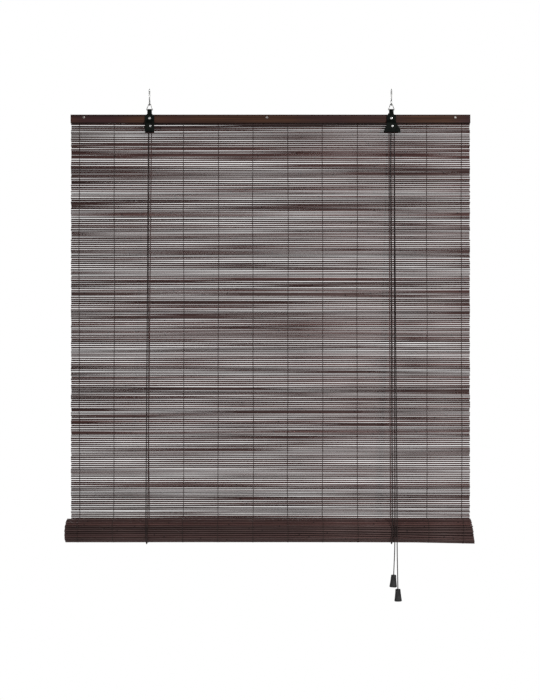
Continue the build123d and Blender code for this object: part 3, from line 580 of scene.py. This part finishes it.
def rear_cords():
    """From the rail's upright holes down to the back of the roll."""
    cord_piece("left_rear_cord", (
        (LEFT_HOLE_X, RAIL_HOLE_Y, RAIL_BOTTOM_Z), (-0.2686, 0.0164, -0.0722), (-0.2712, 0.0159, -0.3450),
        (-0.2741, 0.0152, -0.6500), (LEFT_SLING_X, ROLL_BACK_Y, ROLL_Z)), "head_rail", RAIL_BOTTOM_Z)
    cord_piece("right_rear_cord", (
        (RIGHT_HOLE_X, RAIL_HOLE_Y, RAIL_BOTTOM_Z), (0.2675, 0.0164, -0.0722), (0.2686, 0.0159, -0.3450),
        (0.2698, 0.0152, -0.6500), (RIGHT_SLING_X, ROLL_BACK_Y, ROLL_Z)), "head_rail", RAIL_BOTTOM_Z)


def pull_runs():
    """The two pull cords from the lock down the front of the mat."""
    cord_piece("left_pull_run", (
        (PULL_GROOVE_X, FAR_GROOVE_Y, LOCK_Z), (0.2782, -0.0004, -0.0942), (0.2780, -0.0102, -0.2950),
        (0.2775, -0.0222, -0.5400), (0.2771, -0.0360, -0.7400), (0.2770, -0.0404, -0.8300),
        (0.2769, -0.0430, -0.9000), (LEFT_PULL_X, ROLL_FRONT_Y, ROLL_Z)), "head_rail", LOCK_Z)
    cord_piece("right_pull_run", (
        (PULL_GROOVE_X, NEAR_GROOVE_Y, LOCK_Z), (0.2782, -0.0035, -0.0942), (0.2790, -0.0126, -0.2950),
        (0.2799, -0.0240, -0.5400), (0.2808, -0.0362, -0.7400), (0.2813, -0.0405, -0.8300),
        (0.2816, -0.0430, -0.9000), (RIGHT_PULL_X, ROLL_FRONT_Y, ROLL_Z)), "head_rail", LOCK_Z)


def slings():
    """The loops in which the roll lies."""
    for name, x in (("left_sling", LEFT_SLING_X), ("right_sling", RIGHT_SLING_X)):
        cord_piece(name, (
            (x, ROLL_FRONT_Y, ROLL_Z), (x, ROLL_FRONT_Y - 0.0001, ROLL_Z - 0.0125),
            (x, -0.0338, ROLL_Z - 0.0272), (x, -0.0144, ROLL_Z - 0.0312), (x, 0.0050, ROLL_Z - 0.0272),
            (x, ROLL_BACK_Y + 0.0001, ROLL_Z - 0.0125), (x, ROLL_BACK_Y, ROLL_Z)), "roll_slings")


def cords_over_pulleys():
    """The left cord over its pulley and across to the lock, and the right cord over the lock's pulley."""
    left_way = ((LEFT_GROOVE_X, LOCK_Z), (LEFT_GROOVE_X, -0.0710), (LEFT_GROOVE_X, -0.0642),
                (-0.2718, -0.0626), (-0.2640, -0.0630), (-0.1400, -0.0641), (0.0150, -0.0646),
                (0.1550, -0.0640), (0.2680, -0.0630), (0.2758, -0.0626), (PULL_GROOVE_X, -0.0642),
                (PULL_GROOVE_X, -0.0710), (PULL_GROOVE_X, LOCK_Z))
    right_way = ((RIGHT_GROOVE_X, LOCK_Z), (RIGHT_GROOVE_X, -0.0700), (RIGHT_GROOVE_X, -0.0640),
                 (0.2722, -0.0626), (0.2758, -0.0626), (PULL_GROOVE_X, -0.0640), (PULL_GROOVE_X, -0.0700),
                 (PULL_GROOVE_X, LOCK_Z))
    cord_piece("transfer_cord", [(x, NEAR_GROOVE_Y, z) for x, z in left_way], "head_rail")
    cord_piece("right_lock_cord", [(x, FAR_GROOVE_Y, z) for x, z in right_way], "head_rail")


# The way that a cord takes through a small overhand knot, in millimetres, coming up from below.
KNOT_ROUTE = (
    (0.0, 0.0, 0.0), (0.0, 0.0, 0.6), (0.3, -1.3, 1.0), (1.4, -1.2, 2.1), (0.9, 0.5, 2.6),
    (-0.9, 1.5, 1.8), (-1.9, 0.8, 1.1), (-1.5, -0.8, 2.4), (-0.2, -1.2, 3.3), (1.3, 0.2, 3.0),
    (1.3, 1.4, 1.7), (0.0, 1.5, 2.9), (-0.7, 0.7, 4.4), (-0.9, 0.6, 5.2),
)


def knot_piece(name, place, body):
    """A small tight overhand knot with its short end, on the end of a cord."""
    line = smooth_line(name, [place @ (Vector(point) * MM) for point in KNOT_ROUTE])
    bm, lay = tube_mesh()
    sweep_tube(bm, line, CORD_RADIUS * KNOT_TIGHTNESS, KNOT_SIDES, lay)
    return finish_piece(name, bm, CORD, body)


def anchor_knots():
    """The knots on top of the rear batten, and the cord that comes up to them through its hole."""
    for name, x in (("left_anchor_knot", LEFT_HOLE_X), ("right_anchor_knot", RIGHT_HOLE_X)):
        on_batten = Matrix.Translation((x, RAIL_HOLE_Y, RAIL_TOP_Z - 0.0002))
        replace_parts(knot_piece(name + "_tied", on_batten, "head_rail"), name)
        stem = [Vector((x, RAIL_HOLE_Y, z)) for z in (RAIL_BOTTOM_Z, -0.0520, -0.0460, RAIL_TOP_Z)]
        bm, lay = tube_mesh()
        sweep_tube(bm, smooth_line(name, stem), CORD_RADIUS, KNOT_SIDES, lay)
        finish_piece(name + "_stem", bm, CORD, "head_rail")


front_cords()
rear_cords()
pull_runs()
slings()
cords_over_pulleys()
anchor_knots()


# ---------------------------------------------------------------- knobs on the pull cords
def knob_piece(name, place, body):
    """A bell-shaped moulded knob with fine flutes, a hole for the cord and a recess for its knot."""
    half_section = (
        (1.35, 0.0), (4.5, 0.0), (5.25, -0.25), (5.68, -0.9), (5.80, -2.2), (6.02, -5.5), (6.45, -10.5),
        (7.00, -15.5), (7.65, -20.5), (8.15, -23.9), (8.36, -25.5), (8.15, -26.7), (7.30, -27.4),
        (5.20, -27.5), (3.85, -27.2), (3.70, -26.4), (3.70, -18.5), (1.35, -18.5),
    )
    bm = bmesh.new()
    verts = [bm.verts.new((radius * MM, 0, z * MM)) for radius, z in half_section]
    edges = [bm.edges.new(pair) for pair in zip(verts, verts[1:] + verts[:1])]
    bmesh.ops.spin(bm, geom=verts + edges, cent=(0, 0, 0), axis=(0, 0, 1), angle=2 * math.pi, steps=96,
                   use_merge=True)
    bmesh.ops.remove_doubles(bm, verts=bm.verts, dist=0.00001)
    bmesh.ops.recalc_face_normals(bm, faces=bm.faces)
    for vertex in bm.verts:
        radius = math.hypot(vertex.co.x, vertex.co.y)
        depth = -vertex.co.z / KNOB_HEIGHT
        if radius > 0.0049 and 0.06 < depth < 0.93:
            flute = 0.5 + 0.5 * math.cos(KNOB_FLUTES * math.atan2(vertex.co.y, vertex.co.x))
            share = 1 - FLUTE_DEPTH * flute ** 1.5 / radius
            vertex.co.x *= share
            vertex.co.y *= share
    bmesh.ops.transform(bm, matrix=place, verts=bm.verts)
    piece = finish_piece(name + "_fluted", bm, KNOB_PLASTIC, body)
    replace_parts(piece, name)
    return piece


def pull_tail(side, route):
    """The free end of a pull cord, with its knob and the knot inside the knob."""
    knob_top = Vector(route[-1])
    down = (knob_top - Vector(route[-2])).normalized()
    turn = (-down).to_track_quat("Z", "Y").to_matrix().to_4x4()
    knob = knob_piece(side + "_knob", Matrix.Translation(knob_top) @ turn, side + "_knob")
    knot_top = knob_top + down * (KNOB_HEIGHT - KNOT_IN_KNOB)
    upside_down = turn @ Matrix.Rotation(math.pi, 4, "X")
    knot = knot_piece(side + "_tail_knot", Matrix.Translation(knot_top) @ upside_down, side + "_knob")
    into_knob = [knob_top - down * 0.006, knot_top + down * 0.0015]
    line = smooth_line(side + "_tail", [*map(Vector, route[:-1]), *into_knob])
    bm, lay = tube_mesh()
    sweep_tube(bm, line, CORD_RADIUS, CORD_SIDES, lay)
    tail = finish_piece(side + "_pull_tail_braid", bm, CORD, None)
    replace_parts(tail, side + "_pull_tail")
    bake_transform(tail)


pull_tail("left", (
    (LEFT_PULL_X, ROLL_FRONT_Y, ROLL_Z), (0.2767, ROLL_FRONT_Y - 0.0002, -1.0075),
    (0.2753, ROLL_FRONT_Y - 0.0002, -1.0415), (0.2741, ROLL_FRONT_Y, -1.0700)))
pull_tail("right", (
    (RIGHT_PULL_X, ROLL_FRONT_Y, ROLL_Z), (0.2818, ROLL_FRONT_Y - 0.0002, -1.0155),
    (0.2827, ROLL_FRONT_Y - 0.0002, -1.0595), (0.2835, ROLL_FRONT_Y, -1.1015)))


# ---------------------------------------------------------------- slats
def straight_slat():
    """The mesh of one slat along X, 1 in radius, with a ring of corners at every station to bend it at."""
    bm = bmesh.new()
    left_end = Matrix.Translation((-MAT_HALF_WIDTH, 0, 0)) @ Matrix.Rotation(math.pi / 2, 4, "Y")
    bmesh.ops.create_circle(bm, segments=SLAT_CORNERS, radius=1.0, cap_ends=True, matrix=left_end)
    end_face = bm.faces[:]
    for _ in range(SLAT_STATIONS):
        made = bmesh.ops.extrude_face_region(bm, geom=end_face)["geom"]
        end_face = [item for item in made if isinstance(item, bmesh.types.BMFace)]
        verts = [item for item in made if isinstance(item, bmesh.types.BMVert)]
        bmesh.ops.translate(bm, vec=(2 * MAT_HALF_WIDTH / SLAT_STATIONS, 0, 0), verts=verts)
    bmesh.ops.recalc_face_normals(bm, faces=bm.faces)
    mesh = bpy.data.meshes.new("straight_slat")
    bm.to_mesh(mesh)
    bm.free()
    return mesh


def bend_slat(verts, own, draw, half_height, place, slat_layer):
    """Gives a new slat its own thickness, waviness and length, and puts it in its place."""
    thick = draw.uniform(0.86, 1.10)
    deep = draw.uniform(0.90, 1.06)
    phase = draw.uniform(0, 6.28)
    phase_two = draw.uniform(0, 6.28)
    wave = draw.uniform(0.00010, 0.00034)
    twist = draw.uniform(-0.5, 0.5)
    longer = draw.uniform(-0.0012, 0.0003)
    for vertex in verts:
        x, around_y, around_z = vertex.co
        vertex[slat_layer] = (own, around_y, around_z)
        swell = 1 + 0.09 * math.sin(9.0 * x + phase) + 0.05 * math.sin(23.0 * x + phase_two)
        turned = Matrix.Rotation(twist + 0.6 * math.sin(3.0 * x + phase), 2) @ Vector((around_y, around_z))
        y = turned.x * SLAT_HALF_DEPTH * deep * swell
        z = turned.y * half_height * thick * swell
        z += wave * math.sin(5.2 * x + phase_two) + wave * 0.6 * math.sin(13.0 * x + phase)
        y += wave * 0.3 * math.sin(7.0 * x + phase)
        x *= 1 + longer / MAT_HALF_WIDTH
        vertex.co = place @ Vector((x, y, z))


def slat_set(name, node, places, seed, half_height, body):
    """Many slats, each in its own place, as one piece that stands for a CAD node."""
    draw = random.Random(seed)
    slat = straight_slat()
    whole = bmesh.new()
    whole.verts.layers.float_vector.new("slat")
    for place in places:
        before = len(whole.verts)
        whole.from_mesh(slat)
        layer = whole.verts.layers.float_vector["slat"]
        whole.verts.ensure_lookup_table()
        bend_slat(whole.verts[before:], draw.random(), draw, half_height, place, layer)
    bpy.data.meshes.remove(slat)
    piece = finish_piece(name, whole, BAMBOO, body)
    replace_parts(piece, node)
    return piece


def hanging_place(index):
    """Where a slat of the hanging mat lies, counted from the rail down."""
    return Matrix.Translation((0, MAT_Y, RAIL_BOTTOM_Z - (index + 0.5) * SLAT_PITCH))


def heading_place(index):
    """Where a slat lies that is clamped in the rail, counted from its top down."""
    return Matrix.Translation((0, MAT_Y, RAIL_TOP_Z - (index + 0.5) * SLAT_PITCH))


def on_spiral(run):
    """Where the rolled mat is after a run from its outer end: the point, the way out, the turns made."""
    radius = ROLL_MID_RADIUS
    half_turn = 0
    while run > math.pi * radius and half_turn < ROLL_HALF_TURNS - 1:
        run -= math.pi * radius
        radius -= ROLL_STEP_IN
        half_turn += 1
    angle = math.pi * (half_turn % 2) + run / radius
    out = Vector((0, math.cos(angle), -math.sin(angle)))
    centre = Vector((0, ROLL_Y - ROLL_STEP_IN * (half_turn % 2), ROLL_Z))
    return centre + out * radius, out, half_turn / 2 + run / (2 * math.pi * radius)


def end_slips(turns):
    """How far the left and right ends of the mat have slid sideways after some turns of rolling by hand."""
    swing = math.sin(2 * math.pi * turns)
    nod = math.cos(2 * math.pi * turns)
    left = -0.0066 - 0.0014 * swing + 0.0018 * nod - 0.0004 * turns
    right = 0.0026 + 0.0042 * swing - 0.0003 * turns
    return left, right


def rolled_place(index):
    """Where a slat of the roll lies and how it is turned, counted from the outside in."""
    centre, out, turns = on_spiral((index + 0.5) * SLAT_PITCH)
    left, right = end_slips(turns)
    centre.x = (left + right) / 2
    along = Vector((1 + (right - left) / (2 * MAT_HALF_WIDTH), 0, 0))
    round_roll = out.cross(Vector((1, 0, 0)))
    return Matrix.Translation(centre) @ Matrix((along, out, round_roll)).transposed().to_4x4()


def share_along(x, start, run):
    """From 0 before a place along the roll to 1 after a run from there."""
    return min(max((x - start) / run, 0.0), 1.0)


def settle_roll(piece):
    """Lets the front of the rolled mat wander round the roll, part towards the right end, and sag there."""
    for vertex in piece.data.vertices:
        x = vertex.co.x
        out = ROLL_Y - vertex.co.y
        up = vertex.co.z - ROLL_Z
        if out > 0:
            radius = math.hypot(up, out)
            angle = math.atan2(up, out)
            wander = ROLL_WANDER * (math.sin(4.3 * x + 2.2) + 0.5 * math.sin(11.0 * x + 0.6))
            parting = ROLL_PARTING * share_along(x, PARTING_START_X, PARTING_RUN)
            angle += wander * math.cos(angle) ** 2 + 0.5 * parting * math.sin(2 * angle)
            vertex.co.y = ROLL_Y - radius * math.cos(angle)
            vertex.co.z = ROLL_Z + radius * math.sin(angle)
        low_side = min(max((ROLL_Z - vertex.co.z) / ROLL_MID_RADIUS, 0.0), 1.0)
        vertex.co.z -= ROLL_SAG * low_side * share_along(x, SAG_START_X, SAG_RUN) ** 1.5


hanging = slat_set("hanging_bamboo", "hanging_slats", map(hanging_place, range(HANGING_SLATS)), 11,
                   SLAT_HALF_HEIGHT, "head_rail")
shorten(hanging)
slat_set("heading_bamboo", "heading_slats", map(heading_place, range(HEADING_SLATS)), 12,
         SLAT_HALF_HEIGHT, "head_rail")
rolled = slat_set("rolled_bamboo", "rolled_mat", map(rolled_place, range(ROLLED_SLATS)), 13,
                  ROLLED_HALF_HEIGHT, "roll")
settle_roll(rolled)


# ---------------------------------------------------------------- warp threads
def twined_pair(bm, lay, slats, placed):
    """Two threads that change sides between slats and cross each other, over a number of slats."""
    for side in (1, -1):
        line = []
        for station in range(slats * 3 + 1):
            run = station / 3 - 0.5
            centre, out = placed((run + 0.5) * SLAT_PITCH)
            swing = side * THREAD_SWING * math.cos(math.pi * run)
            sideways = side * THREAD_SIDE_STEP * math.sin(math.pi * run)
            line.append(centre + out * swing + Vector((sideways, 0, 0)))
        sweep_tube(bm, line, THREAD_RADIUS, 4, lay)


def copies_across(bm, seed, drift):
    """Copies of a pair of threads at every place across the mat, each drifting sideways in its own way."""
    draw = random.Random(seed)
    pair = bpy.data.meshes.new("pair_of_threads")
    bm.to_mesh(pair)
    bm.free()
    whole, _lay = tube_mesh()
    for place in range(THREAD_PLACES):
        before = len(whole.verts)
        whole.from_mesh(pair)
        whole.verts.ensure_lookup_table()
        phase = draw.uniform(0, 6.28)
        phase_two = draw.uniform(0, 6.28)
        for vertex in whole.verts[before:]:
            sway = math.sin(6.0 * vertex.co.z + phase) + 0.5 * math.sin(17.0 * vertex.co.z + phase_two)
            vertex.co.x += FIRST_THREAD_X + place * THREAD_SPACING + drift * sway
    bpy.data.meshes.remove(pair)
    return whole


def down_the_mat(run):
    """The point at a run down the hanging mat, and the way out of its front."""
    return Vector((0, MAT_Y, RAIL_BOTTOM_Z - run)), Vector((0, -1, 0))


def round_the_roll(run):
    """The point at a run round the roll, and the way out of it."""
    return on_spiral(run)[:2]


def warp_threads():
    """The threads down the hanging mat, and round the outside of the roll."""
    bm, lay = tube_mesh()
    twined_pair(bm, lay, HANGING_SLATS, down_the_mat)
    pairs = copies_across(bm, 21, 0.0007)
    twined = finish_piece("twined_threads", pairs, THREAD, "head_rail")
    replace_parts(twined, "warp_threads")
    shorten(twined)
    bm, lay = tube_mesh()
    twined_pair(bm, lay, THREADED_ROLL_SLATS, round_the_roll)
    pairs = copies_across(bm, 22, 0.0003)
    settle_roll(finish_piece("rolled_threads", pairs, THREAD, "roll"))


warp_threads()


# ---------------------------------------------------------------- hooks and brackets
def hook_thread(name, x):
    """The wood-screw thread on a ceiling hook's shank, running out at its point."""
    steps = 20
    ridge = ((1.3, 0, -0.42), (2.0, 0, 0.0), (1.3, 0, 0.42))
    bm = bmesh.new()
    section = bm.faces.new([bm.verts.new(Vector(corner) * MM) for corner in ridge])
    bmesh.ops.spin(bm, geom=[section], cent=(0, 0, 0), axis=(0, 0, 1),
                   dvec=(0, 0, HOOK_THREAD_PITCH / steps),
                   angle=2 * math.pi * HOOK_THREAD_TURNS, steps=HOOK_THREAD_TURNS * steps)
    for vertex in bm.verts:
        to_point = min(1.0, max(0.12, (17.4 * MM - vertex.co.z) / (4.6 * MM)))
        run_in = min(1.0, 0.55 + vertex.co.z / (2.0 * MM))
        vertex.co.x *= to_point * run_in
        vertex.co.y *= to_point * run_in
    bmesh.ops.recalc_face_normals(bm, faces=bm.faces)
    bmesh.ops.translate(bm, vec=(x, 0, HOOK_THREAD_START_Z), verts=bm.verts)
    finish_piece(name, bm, WIRE, "ceiling_hooks", smooth=False)


def rounded_bracket(node):
    """A bracket in its CAD shape, with the edges rounded over that pressed and painted steel has round."""
    bm = bmesh.new()
    bm.from_mesh(frame["nodes"][node].data)
    bmesh.ops.remove_doubles(bm, verts=bm.verts, dist=0.000002)
    bmesh.ops.dissolve_limit(bm, angle_limit=math.radians(0.5), verts=bm.verts, edges=bm.edges)
    sharp = [edge for edge in bm.edges
             if len(edge.link_faces) == 2 and edge.calc_face_angle() > math.radians(35)]
    bmesh.ops.bevel(bm, geom=sharp, offset=BRACKET_ROUND_OVER, offset_type="OFFSET", segments=2,
                    profile=0.5, affect="EDGES", material=-1, clamp_overlap=True)
    piece = finish_piece(node + "_rounded", bm, ENAMEL, "head_rail", smooth=False)
    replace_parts(piece, node)


hook_thread("left_hook_thread", -HOOK_X)
hook_thread("right_hook_thread", HOOK_X)
rounded_bracket("left_bracket")
rounded_bracket("right_lock_housing")


# ---------------------------------------------------------------- finishes of the parts kept as in CAD
def dress(material, *names):
    """Puts a finish on CAD nodes."""
    for name in names:
        node = frame["nodes"][name]
        node.data.materials.clear()
        node.data.materials.append(material)


dress(RAIL_WOOD, "head_rail_front", "head_rail_back")
dress(BATTEN_WOOD, "bottom_batten")
dress(DULL_ZINC, "rail_screws")
dress(ZINC, "bracket_screws", "left_axle_rivet", "right_axle_rivet")
dress(ENAMEL, "cam_rivet")
dress(WIRE, "left_ceiling_hook", "right_ceiling_hook", "left_hanger_ring", "right_hanger_ring")
dress(NYLON, "left_pulley", "right_pulley")
dress(CAM_STEEL, "lock_cam")


# ---------------------------------------------------------------- floor and light
def add_floor():
    """A plain pale floor under the blind."""
    bm = bmesh.new()
    bmesh.ops.create_circle(bm, segments=96, radius=FLOOR_RADIUS, cap_ends=True,
                            matrix=Matrix.Translation((0, 0, FLOOR_Z)))
    mesh = bpy.data.meshes.new("floor")
    bm.to_mesh(mesh)
    bm.free()
    floor = link("floor", mesh)
    material, tree, shader = new_material("floor", Roughness=0.9)
    noise = add_node(tree, "ShaderNodeTexNoise", inputs={"Vector": object_place(tree), "Scale": 3.0})
    colour = mix_colour(tree, noise.outputs[0], (0.80, 0.80, 0.80, 1), (0.84, 0.84, 0.84, 1))
    tree.links.new(colour, shader.inputs["Base Color"])
    floor.data.materials.append(material)


def add_area_light(name, place, size, power):
    """A soft square light aimed at the blind."""
    data = bpy.data.lights.new(name, "AREA")
    data.size = size
    data.energy = power
    light = link(name, data)
    light.location = place
    light.rotation_euler = (Vector(LIGHT_TARGET) - Vector(place)).to_track_quat("-Z", "Y").to_euler()


def add_world():
    """White all round, dimmer as light than as what is seen behind the blind."""
    world = bpy.data.worlds.new("studio")
    bpy.context.scene.world = world
    world.use_nodes = True
    tree = world.node_tree
    background = tree.nodes["Background"]
    background.inputs["Color"].default_value = (1, 1, 1, 1)
    seen = add_node(tree, "ShaderNodeLightPath").outputs["Is Camera Ray"]
    tree.links.new(map_range(tree, seen, 0.0, 1.0, 0.34, 1.0), background.inputs["Strength"])


add_floor()
add_world()
add_area_light("key", (2.7, -4.3, 1.1), 0.7, 215)
add_area_light("fill", (-2.4, -2.6, 0.2), 1.8, 30)
add_area_light("back", (-1.2, 3.2, 0.8), 1.6, 60)
bpy.context.scene.view_settings.view_transform = "Standard"
